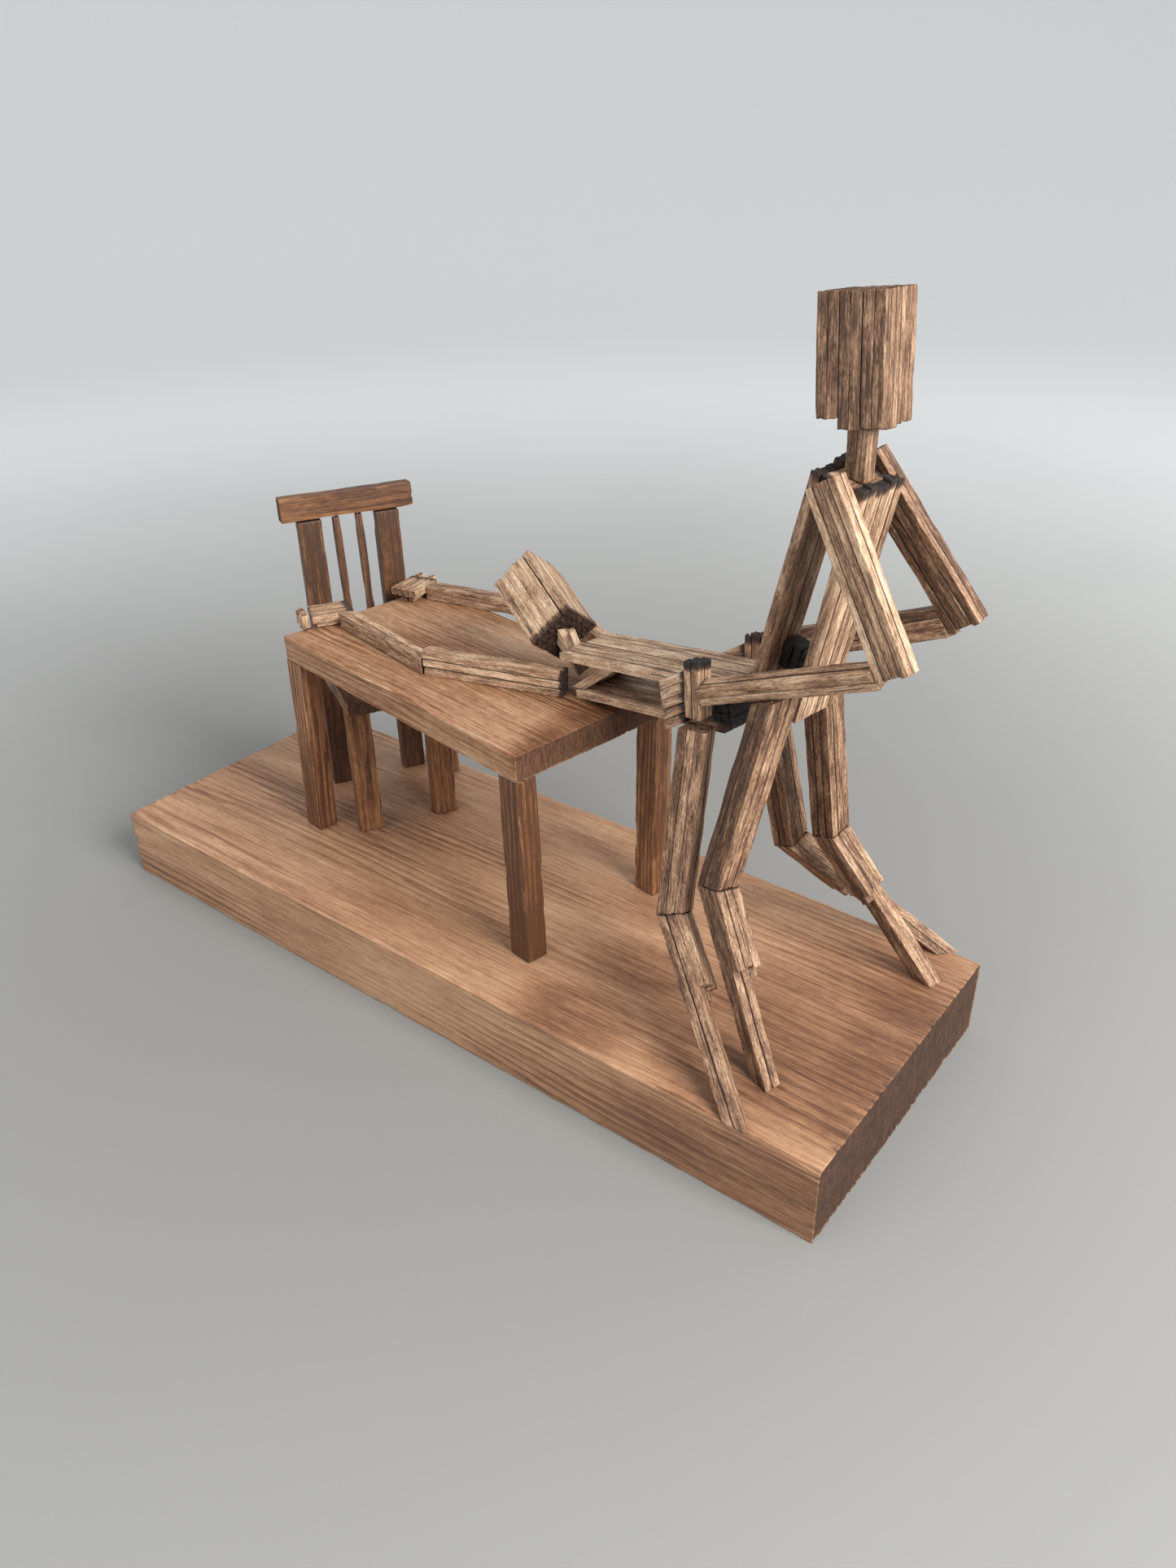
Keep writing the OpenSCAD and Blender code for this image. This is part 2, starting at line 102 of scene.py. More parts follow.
# Ends that were burnt: the direction that they face, how far the burn reaches in mm, and how black it
# is. Above about a half it is charcoal, below that it is scorched brown.
UP, DOWN, LEFT, RIGHT = (0, 0, 1), (0, 0, -1), (-1, 0, 0), (1, 0, 0)
NEAR, FAR = (0, -1, 0), (0, 1, 0)
BURNT = {
    "standing_chest_panel": [(UP, 1.9, 0.68)],
    "standing_back_panel": [(UP, 2.2, 0.68)],
    "standing_shoulder_block": [(NEAR, 2.0, 0.7), (FAR, 2.0, 0.7)],
    "standing_hip_block": [(NEAR, 6.0, 1.0), (FAR, 6.0, 1.0)],
    "standing_left_hand": [(UP, 2.6, 0.75), (LEFT, 1.0, 0.2)],
    "standing_right_hand": [(UP, 3.0, 0.6)],
    "leaning_hip_block": [(NEAR, 10.0, 1.0), (FAR, 10.0, 1.0)],
    "leaning_shoulder_block": [(UP, 9.0, 0.55), (DOWN, 9.0, 0.55)],
    "leaning_head": [(RIGHT, 2.2, 0.5), (LEFT, 0.6, 0.15)],
    "leaning_left_upper_arm": [(RIGHT, 1.3, 0.6)],
    "leaning_right_upper_arm": [(RIGHT, 1.3, 0.6)],
    "leaning_left_hand": [(FAR, 3.0, 0.6)],
    "leaning_right_hand": [(FAR, 3.0, 0.5)],
    "leaning_chest_panel": [(RIGHT, 3.0, 0.6)],
}

# How ragged the sticks' ends are, in mm: most of them, and the nodes that differ
USUALLY_TORN = 0.3
TORN = {
    "leaning_head": 1.1,
    "standing_right_hand": 1.3,
    "leaning_hip_block": 0.6,
    "standing_hip_block": 0.6,
    "standing_chest_panel": 0.5,
    "standing_back_panel": 0.5,
    "leaning_left_hand": 0.5,
    "leaning_right_hand": 0.7,
}

# How much darker (above 0) or paler a node is: partly its wood's tone, partly painted shade and light
TONE_AND_SHADE = {
    "standing_head": 0.78,
    "standing_neck": 0.6,
    "standing_chest_panel": 0.6,
    "standing_back_panel": 0.25,
    "standing_left_thigh": 0.85,
    "standing_right_thigh": 1.0,
    "standing_right_forearm": 0.6,
    "standing_right_upper_arm": 0.72,
    "standing_left_upper_arm": 0.1,
    "standing_left_forearm": 0.0,
    "standing_left_shin": 0.75,
    "standing_left_calf": 0.55,
    "standing_right_calf": 0.6,
    "standing_right_shin": 0.5,
    "leaning_left_forearm": 0.15,
    "leaning_left_upper_arm": -0.05,
    "leaning_right_forearm": 0.2,
    "leaning_head": -0.25,
    "leaning_back_panel": -0.25,
    "leaning_neck": -0.4,
    "leaning_left_thigh": 0.8,
    "leaning_right_thigh": 0.95,
    "leaning_right_shin": 0.7,
    "leaning_right_calf": 0.6,
    "leaning_left_shin": 0.35,
    "leaning_left_calf": 0.25,
    "leaning_shoulder_block": 0.6,
    "base_board": 0.35,
    "table_top": 0.39,
    "table_leg_front_left": 0.58,
    "table_leg_front_right": 0.88,
    "table_leg_back_right": 0.58,
    "table_leg_back_left": 0.62,
    "chair_seat": 0.4,
    "chair_front_leg_left": 0.6,
    "chair_front_leg_right": 0.5,
    "chair_back_post_left": 0.84,
    "chair_back_post_right": 0.86,
    "chair_spindles": 0.8,
    "chair_top_rail": 0.67,
}

# Soft patches of dirt and painted shade: centre and reach along x, y and z in mm, and how strong
STAINS_AND_SHADE = {
    "base_board": [
        ((56, -38, 23.8), (26, 17, 4), 0.8),
        ((60, -11, 23.8), (28, 14, 4), 0.65),
        ((108, -14, 23.8), (52, 46, 14), 0.55),
        ((112, -48, 10), (60, 16, 22), 0.7),
        ((128, 0, 14), (26, 70, 26), 0.85),
        ((-60, 16, 23.8), (26, 20, 4), 0.45),
    ],
    "table_top": [
        ((38, -12, 92), (16, 40, 9), 0.8),
        ((-20, 10, 92.6), (40, 8, 3), 0.3),
    ],
}

# Linear wood colours, palest first
MATCH_TONES = [
    (0.80, 0.605, 0.43),
    (0.60, 0.40, 0.255),
    (0.385, 0.23, 0.137),
    (0.195, 0.10, 0.056),
    (0.07, 0.033, 0.018),
]

# Dark marks on the matches
SPLIT_BROWN = (0.045, 0.024, 0.015)
SPECK_BROWN = (0.075, 0.043, 0.028)
FRAYED_BROWN = (0.12, 0.06, 0.034)
SCORCHED_BROWN = (0.055, 0.024, 0.014)
CHARCOAL = (0.006, 0.0055, 0.0055)
GREY_CHARCOAL = (0.032, 0.028, 0.026)

# The stained pines: tones, colours of stains and painted shade and of sawn ends, the width of a year
# ring in mm, how strong the rings are, and how mottled the wood is
BOARDS = {
    "board_pine": {
        "tones": [
            (0.60, 0.40, 0.25),
            (0.50, 0.295, 0.17),
            (0.37, 0.195, 0.105),
            (0.24, 0.115, 0.06),
            (0.12, 0.052, 0.028),
        ],
        "stain_and_shade": (0.13, 0.045, 0.025),
        "end_tone": (0.052, 0.023, 0.012),
        "ring": 2.3,
        "ring_depth": 0.34,
        "mottled": 0.45,
    },
    "table_pine": {
        "tones": [
            (0.70, 0.48, 0.31),
            (0.52, 0.315, 0.185),
            (0.345, 0.175, 0.088),
            (0.195, 0.08, 0.033),
            (0.085, 0.034, 0.015),
        ],
        "stain_and_shade": (0.11, 0.045, 0.023),
        "end_tone": (0.09, 0.037, 0.018),
        "ring": 1.6,
        "ring_depth": 0.36,
        "mottled": 0.55,
    },
    "chair_wood": {
        "tones": [
            (0.52, 0.325, 0.17),
            (0.38, 0.20, 0.092),
            (0.25, 0.112, 0.046),
            (0.14, 0.056, 0.022),
            (0.06, 0.025, 0.012),
        ],
        "stain_and_shade": (0.07, 0.03, 0.016),
        "end_tone": (0.08, 0.04, 0.022),
        "ring": 1.7,
        "ring_depth": 0.3,
        "mottled": 0.8,
    },
}

# A stick's tone, how much it varies from stick to stick, and how much its node's shade counts
STICK_TONE, STICK_SPREAD, SHADE_SHARE = 0.49, 0.27, 0.4

# How far apart the grain of one stick and the next lie in the noise, in mm, and the same for boards,
# which differ only along the grain
GRAIN_SHIFT = np.array((5.3, 3.7, 23.0))
BOARD_SHIFT = 37.0

# How far a dark glue line, with painted contact shade where pieces meet, spreads over a stick, how far
# wood shelters wood from rubbing, and how near two solids have to be for either
SEAM_REACH = 0.28 * MM
SHELTER_REACH = 0.6 * MM
NEIGHBOUR_REACH = 0.7 * MM

# Seeds of the noise. Solids count up from their node's number times SEED_STEP.
SEED_STEP = 101
GLUE_SEED = (3, 17)
BURN_SEED = 21

# Kinds of wear: what each adds to a solid's seed, and how wide and how long its marks are in mm
CRACKS, DENTS, RUBS = (7, 0.7, 14), (11, 2, 3.5), (5, 3, 5)
# At a cut end they have only a width. END_STEP sets the two ends of a solid apart.
FIBRES, TUFTS, GRIT = (2, 0.62), (9, 1.4), (2, 0.5)
END_STEP = 3.3

# How many times longer than wide a groove is, and how far a solid's axis has to lean along a burnt
# direction for its end to be burnt
GROOVE_STRETCH = 22
BURNT_LEAN = 0.25

# Rows of points: how far the first ones are from a cut end and the gap between the next, both in mm,
# and the gap beside a rounded corner
END_ROWS = (0, 0.12, 0.35, 0.75, 1.3)
NEXT_ROW = 0.6
CORNER_GAP = 0.28 * MM

# Reading the CAD meshes: the way that long axes point, how little a side leans along its axis, when
# two planes or two points count as one, the smallest triangle, the least bend of a real edge, and a
# distance beyond every solid
AXIS_WAY = np.array((1.0, 0.1, 0.01))
SIDE_LEAN = 0.02
SAME_NORMAL, SAME_DISTANCE, SAME_POINT = 0.9999, 1e-5, 1e-6
TINY_AREA = 1e-9
SHARP_EDGE = 0.05
FAR_OFF = 1e3


# ---------------------------------------------------------------- noise


def lattice(i, j, k, seed):
    """A repeatable value from 0 to 1 at whole-number points: a hash with large odd factors."""
    n = (i * 73856093) ^ (j * 19349663) ^ (k * 83492791) ^ (seed * 2654435761)
    n = n & 0xFFFFFFFF
    n = ((n ^ (n >> 15)) * 2246822519) & 0xFFFFFFFF
    n = ((n ^ (n >> 13)) * 3266489917) & 0xFFFFFFFF
    return ((n ^ (n >> 16)) & 0xFFFFFF) / 0xFFFFFF


def noise(x, y, z, seed=0):
    """Smooth noise from -1 to 1 at arrays of points."""
    x, y, z = np.broadcast_arrays(*(np.asarray(v, float) for v in (x, y, z)))
    cell = [np.floor(v).astype(np.int64) for v in (x, y, z)]
    part = [v - c for v, c in zip((x, y, z), cell)]
    blend = [p * p * (3 - 2 * p) for p in part]
    total = 0
    for corner in range(8):
        bits = [(corner >> b) & 1 for b in range(3)]
        weight = 1
        for bit, b in zip(bits, blend):
            weight = weight * (b if bit else 1 - b)
        total = total + weight * lattice(*(c + bit for c, bit in zip(cell, bits)), seed)
    return total * 2 - 1


def marks(kind, seed, a, b, t):
    """Noise for a kind of wear at places in mm."""
    own, width, length = kind
    return noise(a / width, b / width, t / length, seed + own)


def end_marks(kind, seed, a, b, way):
    """The same on a cut end, where way is 1 for the low end and -1 for the high one."""
    own, width = kind
    return noise(a / width, b / width, way * END_STEP, seed + own)


def smooth(edge0, edge1, x):
    """0 below edge0, 1 above edge1, smooth between."""
    t = np.clip((x - edge0) / (edge1 - edge0), 0, 1)
    return t * t * (3 - 2 * t)


# ---------------------------------------------------------------- solids of the frame


class Solid:
    """One straight CAD solid: its faces, its long axis u, and its section across w and d.

    near lists the solids beside it, each with how dark the glue line and painted contact shade between
    them are.
    """

    def __init__(self, corners, planes, axis):
        self.corners, self.planes, self.u = corners, planes, axis
        sides = [n for n, _ in planes if abs(n @ axis) < SIDE_LEAN]
        self.w = max(sides, key=lambda n: (round(np.ptp(corners @ n), 6), *np.round(n, 4)))
        self.d = np.cross(axis, self.w)
        centre = [(corners @ v).min() / 2 + (corners @ v).max() / 2 for v in (self.w, self.d)]
        self.half = [np.ptp(corners @ v) / 2 for v in (self.w, self.d)]
        self.origin = self.w * centre[0] + self.d * centre[1]
        self.low, self.high = corners.min(0), corners.max(0)
        self.near = []

    def place(self, a, b, t):
        """The point a across w, b across d and t along u."""
        return self.origin + a[..., None] * self.w + b[..., None] * self.d + t[..., None] * self.u

    def ends(self, a, b):
        """Where the lines along u through (a, b) enter and leave the solid."""
        low, high = np.full(a.shape, -FAR_OFF), np.full(a.shape, FAR_OFF)
        for n, c in self.planes:
            slope = n @ self.u
            if abs(slope) < SIDE_LEAN:
                continue
            t = (c - n @ self.origin - a * (n @ self.w) - b * (n @ self.d)) / slope
            if slope < 0:
                low = np.maximum(low, t)
            else:
                high = np.minimum(high, t)
        return low, np.maximum(high, low + 0.2 * MM)

    def gap_to(self, points):
        """How far each point is outside this solid."""
        return np.max([points @ n - c for n, c in self.planes], axis=0)

    def seam(self, points):
        """How dark the glue line and painted contact shade are at each point, and how close the next
        wood is.
        """
        dark, close = np.zeros(points.shape[:-1]), np.zeros(points.shape[:-1])
        for other, strength in self.near:
            gap = np.maximum(other.gap_to(points), 0)
            dark = np.maximum(dark, strength * (1 - smooth(0.06 * MM, SEAM_REACH, gap)))
            close = np.maximum(close, 1 - smooth(0.1 * MM, SHELTER_REACH, gap))
        return dark, close


def islands(bm):
    """The separate parts of a mesh, as lists of faces in a fixed order."""
    seen = set()
    for start in bm.faces:
        if start in seen:
            continue
        seen.add(start)
        part, waiting = [], [start]
        while waiting:
            face = waiting.pop()
            part.append(face)
            for other in (f for e in face.edges for f in e.link_faces):
                if other not in seen:
                    seen.add(other)
                    waiting.append(other)
        yield part


def planes_of(faces):
    """The planes that faces lie in, each once, as an outward normal and a distance."""
    planes = []
    for f in faces:
        n = np.array(f.normal)
        c = n @ np.array(f.verts[0].co)
        known = any(n @ m > SAME_NORMAL and abs(c - k) < SAME_DISTANCE for m, k in planes)
        if f.calc_area() > TINY_AREA and not known:
            planes.append((n, c))
    return planes


def long_axis(faces):
    """The direction of the longest edge, leaving out the lines between a flat face's triangles."""
    edges = dict.fromkeys(e for f in faces for e in f.edges if e.calc_face_angle(0) > SHARP_EDGE)
    longest = max(edges, key=lambda e: (round(e.calc_length(), 6), *(e.verts[0].co + e.verts[1].co)))
    axis = np.array((longest.verts[1].co - longest.verts[0].co).normalized())
    return -axis if axis @ AXIS_WAY < 0 else axis


def solids_of(node):
    """Reads a CAD node's mesh back as its separate solids, always in the same order."""
    bm = bmesh.new()
    bm.from_mesh(frame["nodes"][node].data)
    bmesh.ops.remove_doubles(bm, verts=bm.verts, dist=SAME_POINT)
    found = []
    for faces in islands(bm):
        corners = np.array([v.co for v in dict.fromkeys(v for f in faces for v in f.verts)])
        found.append(Solid(corners, planes_of(faces), long_axis(faces)))
    bm.free()
    return sorted(found, key=lambda s: tuple(np.round(s.corners.mean(0), 6)))


def find_neighbours(solids):
    """Pairs up solids whose boxes almost touch, each pair with its own darkness of glue line and painted
    contact shade.
    """
    for i, one in enumerate(solids):
        for k in range(i):
            other = solids[k]
            beyond = (other.low > one.high + NEIGHBOUR_REACH) | (other.high < one.low - NEIGHBOUR_REACH)
            if beyond.any():
                continue
            strength = float(smooth(0.1, 0.9, lattice(i, k, *GLUE_SEED)))
            one.near.append((other, strength))
            other.near.append((one, strength))


# ---------------------------------------------------------------- worn wood meshes


def side_steps(half, radius, step):
    """Places along one side of a section, close together beside its corners."""
    run = half - radius
    inner = run - CORNER_GAP
    count = max(2, round(2 * inner / step))
    return [-run] + list(np.linspace(-inner, inner, count + 1)) + [run]


def section(half_w, half_d, radius, step):
    """Points round a section with rounded corners, which way each faces, and how near a corner it is."""
    points, facing, corner = [], [], []
    for turn in range(4):
        long, out = (half_w, half_d) if turn % 2 == 0 else (half_d, half_w)
        c, s = [(1, 0), (0, 1), (-1, 0), (0, -1)][turn]
        run = long - radius
        for along in side_steps(long, radius, step):
            points.append((c * along + s * out, s * along - c * out))
            facing.append((s, -c))
            corner.append(math.exp(-(run - abs(along)) / (2.0 * radius)))
        bend = radius * math.sqrt(0.5)
        p, q = run + bend, out - radius + bend
        points.append((c * p + s * q, s * p - c * q))
        facing.append(((c + s) * math.sqrt(0.5), (s - c) * math.sqrt(0.5)))
        corner.append(1.0)
    return np.array(points), np.array(facing), np.array(corner)


def stations(length, look):
    """Distances along a piece, close together at its ends."""
    lead = [*END_ROWS, *(END_ROWS[-1] + NEXT_ROW * k for k in range(1, look["close_rows"]))]
    lead = [v * MM for v in lead if v * MM < length * 0.4]
    middle = np.linspace(lead[-1], length - lead[-1], max(2, int(length / look["step"])))
    return np.array(lead[:-1] + list(middle) + [length - v for v in lead[:-1]][::-1])


def cap_ring(solid, look, seed, a, b, way, ring):
    """One ring of a cut end, as far along as the solid's own end face, with a rough surface."""
    rim, scale, rough, _ = ring
    size_a, size_b = (max(np.abs(v).max(), 4 * look["inset"]) for v in (a, b))
    cap_a = a * (1 - rim * look["inset"] / size_a) * scale
    cap_b = b * (1 - rim * look["inset"] / size_b) * scale
    grit = 0.5 + 0.5 * rough * end_marks(GRIT, seed, cap_a / MM, cap_b / MM, way)
    return cap_a, cap_b, solid.ends(cap_a, cap_b)[0 if way == 1 else 1] + way * look["torn"] * grit


def end_caps(solid, look, seed, a, b, t):
    """Closes both ends with rough rings of points: the points and faces that this adds."""
    rows, n = a.shape
    points, faces, total = [], [], rows * n
    # how many insets in from the edge, scale, how rough, and how much of the edge's wear is kept
    rings = ((1, 1, 1, 0.45), (3, 1, look["core"], 0.15), (3, 0.45, look["core"], 0))
    for row, way in ((0, 1), (rows - 1, -1)):
        side = 0 if way == 1 else 1
        last = row * n
        worn = t[row] - solid.ends(a[row], b[row])[side]
        for ring in rings:
            cap_a, cap_b, cap_t = cap_ring(solid, look, seed, a[row], b[row], way, ring)
            points.append(np.stack([cap_a, cap_b, cap_t + worn * ring[3]], -1))
            for i in range(n):
                quad = (last + i, total + i, total + (i + 1) % n, last + (i + 1) % n)
                faces.append(quad if way == 1 else quad[::-1])
            last, total = total, total + n
        middle = solid.ends(np.zeros(1), np.zeros(1))[side][0]
        points.append(np.array([[0, 0, middle + way * look["torn"] * 0.5]]))
        for i in range(n):
            fan = (last + i, total, last + (i + 1) % n)
            faces.append(fan if way == 1 else fan[::-1])
        total += 1
    return np.concatenate(points), faces


def swelled(ring, share, look, seed):
    """The section at each station: a little thicker or thinner, and turned."""
    swell = 1 + look["uneven"] * noise(seed * 3.1, share * 2.2, 0.5, seed)
    twist = look["twist"] * noise(seed * 1.7, 0.3, 0.7, seed) * (share - 0.5)
    return ring[:, 0] * swell - ring[:, 1] * twist, ring[:, 1] * swell + ring[:, 0] * twist


def weathered(look, seed, a, b, t):
    """How far the sides stand out, with long grooves, cracks and dents. Places are in mm."""
    grooves = (0, look["grain"], look["grain"] * GROOVE_STRETCH)
    groove = marks(grooves, seed, a, b, t)
    crack = smooth(0.45, 0.8, marks(CRACKS, seed, a, b, t))
    dent = marks(DENTS, seed, a, b, t)
    return look["groove"] * groove - look["crack"] * crack + look["dent"] * dent


def torn_end(look, seed, a, b, way, gap):
    """Near one end: how frayed the fibres are, and how far they were torn out. a and b are in mm."""
    narrow = end_marks(FIBRES, seed, a, b, way)
    reach = (1.0 + 3.5 * (0.5 + 0.5 * noise(a / TUFTS[1], b / TUFTS[1], way, seed + TUFTS[0]))) * MM
    fray = smooth(0.0, 0.75, narrow) * smooth(0, 1, 1 - gap / reach)
    ragged = 0.25 * (0.5 + 0.5 * narrow) + 0.75 * smooth(0.1, 0.8, narrow)
    return fray, look["torn"] * ragged * smooth(0, 1, 1 - gap / (1.0 * MM))


def worn_sides(solid, look, seed):
    """The sides of one solid as rows of rings: their places, and the values that its material reads."""
    ring, facing, corner = section(*solid.half, look["radius"], look["round_step"])
    t0, t1 = solid.ends(ring[:, 0], ring[:, 1])
    length = (t1 - t0).mean()
    s = stations(length, look)[:, None]
    t = t0 + (t1 - t0) * (s / length)
    seam, close = solid.seam(solid.place(ring[:, 0] + 0 * t, ring[:, 1] + 0 * t, t))
    mm_a, mm_b, mm_t = ring[:, 0] / MM, ring[:, 1] / MM, t / MM
    rub = smooth(-0.1, 0.8, marks(RUBS, seed, mm_a, mm_b, mm_t)) * corner * (1 - close)
    out = weathered(look, seed, mm_a, mm_b, mm_t) - look["wear"] * rub - look["seam_depth"] * seam
    frayed = np.zeros(t.shape)
    for way, gap in ((1, s), (-1, length - s)):
        out = out - look["end_round"] * (1 - smooth(0, look["end_round"] * 1.6, gap))
        fray, back = torn_end(look, seed, mm_a, mm_b, way, gap)
        frayed = np.maximum(frayed, fray)
        t = t + way * back
    out = out - look["chip"] * frayed
    a, b = swelled(ring, s / length, look, seed)
    values = {"seam": seam, "rub": rub, "end": frayed * look["fringe"]}
    return (a + facing[:, 0] * out, b + facing[:, 1] * out, t), values


def swept(solid, look, seed):
    """The worn mesh of one solid: its points, its faces, and the values that its material reads."""
    (a, b, t), values = worn_sides(solid, look, seed)
    rows, n = a.shape
    caps, cap_faces = end_caps(solid, look, seed, a, b, t)
    local = np.concatenate([np.stack([a, b, t], -1).reshape(-1, 3), caps])
    faces = []
    for row in range(rows - 1):
        for i in range(n):
            k = (i + 1) % n
            faces.append((row * n + i, row * n + k, (row + 1) * n + k, (row + 1) * n + i))
    faces += cap_faces
    if np.linalg.det(np.array([solid.w, solid.d, solid.u])) < 0:
        faces = [f[::-1] for f in faces]
    shift = look["offset"] * np.array([noise(seed, v, 0.5, seed) for v in (0.2, 4.2)])
    world = solid.place(local[:, 0], local[:, 1], local[:, 2]) + shift[0] * solid.w + shift[1] * solid.d
    on_caps = {"seam": 0, "rub": 0, "end": 1}
    for name, value in on_caps.items():
        values[name] = np.concatenate([values[name].ravel(), np.full(len(caps), float(value))])
    return world, local, faces, values


def burn(node, solid, local):
    """How burnt each point is: brown up to a half, black above it."""
    burnt = np.zeros(len(local))
    for direction, reach, black in BURNT.get(node, ()):
        along = solid.u @ np.array(direction, float)
        if abs(along) < BURNT_LEAN:
            continue
        toward = 1 if along > 0 else -1
        gap = ((local[:, 2] * toward).max() - local[:, 2] * toward) / MM
        uneven = noise(local[:, 0] / MM, local[:, 1] / MM, local[:, 2] / MM / 2, BURN_SEED)
        burnt = np.maximum(burnt, black * (1 - smooth(0.3, 1.05, gap / reach + 0.3 * uneven)))
    return burnt


def dark_patches_and_shade(node, world):
    """How dark each point is painted, from the soft patches of dirt and painted shade."""
    dirt_and_shade = np.zeros(len(world))
    for centre, reach, amount in STAINS_AND_SHADE.get(node, ()):
        away = np.linalg.norm((world / MM - np.array(centre)) / np.array(reach), axis=1)
        dirt_and_shade = np.maximum(dirt_and_shade, amount * (1 - smooth(0.35, 1.0, away)))
    return dirt_and_shade


# Wear of a piece: rounded edges and the gaps between its points, then how uneven and twisted it is,
# how wide its grain is in mm, and how deep each kind of wear goes. close_rows counts the rows that lie
# NEXT_ROW apart near an end, inset is how far in a cut end's first ring lies, fringe how dark frayed
# fibres are, core how rough the middle of a cut end is, and offset how far out of line a piece may be
# glued. Sticks take their torn from TORN.
STICK_LOOK = {
    "radius": 0.13 * MM,
    "round_step": 0.5 * MM,
    "step": 1.5 * MM,
    "close_rows": 1,
    "inset": 0.12 * MM,
    "uneven": 0.014,
    "twist": 0.03,
    "grain": 0.7,
    "groove": 0.055 * MM,
    "crack": 0.13 * MM,
    "dent": 0.035 * MM,
    "wear": 0.26 * MM,
    "seam_depth": 0.09 * MM,
    "end_round": 0.12 * MM,
    "chip": 0.10 * MM,
    "fringe": 0.55,
    "core": 1,
    "offset": 0.05 * MM,
}
BOARD_LOOK = {
    "radius": 0.3 * MM,
    "round_step": 0.62 * MM,
    "step": 3.0 * MM,
    "close_rows": 6,
    "inset": 0.25 * MM,
    "uneven": 0.001,
    "twist": 0,
    "grain": 2.2,
    "groove": 0.03 * MM,
    "crack": 0.03 * MM,
    "dent": 0.04 * MM,
    "wear": 0.3 * MM,
    "seam_depth": 0.02 * MM,
    "end_round": 0.15 * MM,
    "chip": 0.3 * MM,
    "fringe": 0.9,
    "torn": 0.6 * MM,
    "core": 0,
    "offset": 0,
}
STRIP_LOOK = dict(
    BOARD_LOOK, step=1.5 * MM, close_rows=2, radius=0.25 * MM, chip=0.15 * MM, torn=0.35 * MM, fringe=0.7
)


def look_of(node):
    """The wear settings of a node: for matchsticks, for the two wide boards, or for thin strips."""
    if node not in BOARD_HEARTS:
        return dict(STICK_LOOK, torn=TORN.get(node, USUALLY_TORN) * MM)
    return BOARD_LOOK if node in ("base_board", "table_top") else STRIP_LOOK


def grain_and_tone(node, seed):
    """Where a solid lies in the noise of its grain, and how dark it is as a whole, painted shade
    included.
    """
    node_tone_and_shade = TONE_AND_SHADE.get(node, 0)
    if node in BOARD_HEARTS:
        return np.array([*BOARD_HEARTS[node], seed * BOARD_SHIFT]), node_tone_and_shade
    own = noise(seed * 0.731, 0.5, 0.5, seed)
    return seed * GRAIN_SHIFT, STICK_TONE + STICK_SPREAD * own + SHADE_SHARE * node_tone_and_shade


def wood_mesh(name, points, faces, grain, values):
    """A smooth mesh with the vector grain and the numbers in values at its points."""
    mesh = bpy.data.meshes.new(name)
    mesh.from_pydata(points.tolist(), [], faces)
    layer = mesh.attributes.new("grain", "FLOAT_VECTOR", "POINT")
    layer.data.foreach_set("vector", grain.astype(np.float32).ravel())
    for key, numbers in values.items():
        layer = mesh.attributes.new(key, "FLOAT", "POINT")
        layer.data.foreach_set("value", numbers.astype(np.float32))
    mesh.polygons.foreach_set("use_smooth", [True] * len(mesh.polygons))
    return mesh


def wood_piece(node, solids, material, number):
    """One Blender object that stands for a whole CAD node."""
    places, faces, grain, values = [], [], [], []
    first, look = 0, look_of(node)
    for index, solid in enumerate(solids):
        seed = number * SEED_STEP + index
        world, local, quads, found = swept(solid, look, seed)
        world[:, 2] = np.maximum(world[:, 2], 0)
        shift, tone = grain_and_tone(node, seed)
        found["tone"] = np.full(len(world), float(tone))
        found["char"] = burn(node, solid, local)
        # Soft dark patches of dirt and painted shade
        found["stain_and_shade"] = dark_patches_and_shade(node, world)
        values.append(found)
        places.append(world)
        grain.append(local / MM + shift)
        faces += [tuple(v + first for v in f) for f in quads]
        first += len(world)
    joined = {key: np.concatenate([found[key] for found in values]) for key in values[0]}
    mesh = wood_mesh(node + "_wood", np.concatenate(places), faces, np.concatenate(grain), joined)
    mesh.materials.append(material)
    piece = bpy.data.objects.new(node + "_wood", mesh)
    bpy.context.scene.collection.objects.link(piece)
    return piece


# ---------------------------------------------------------------- materials


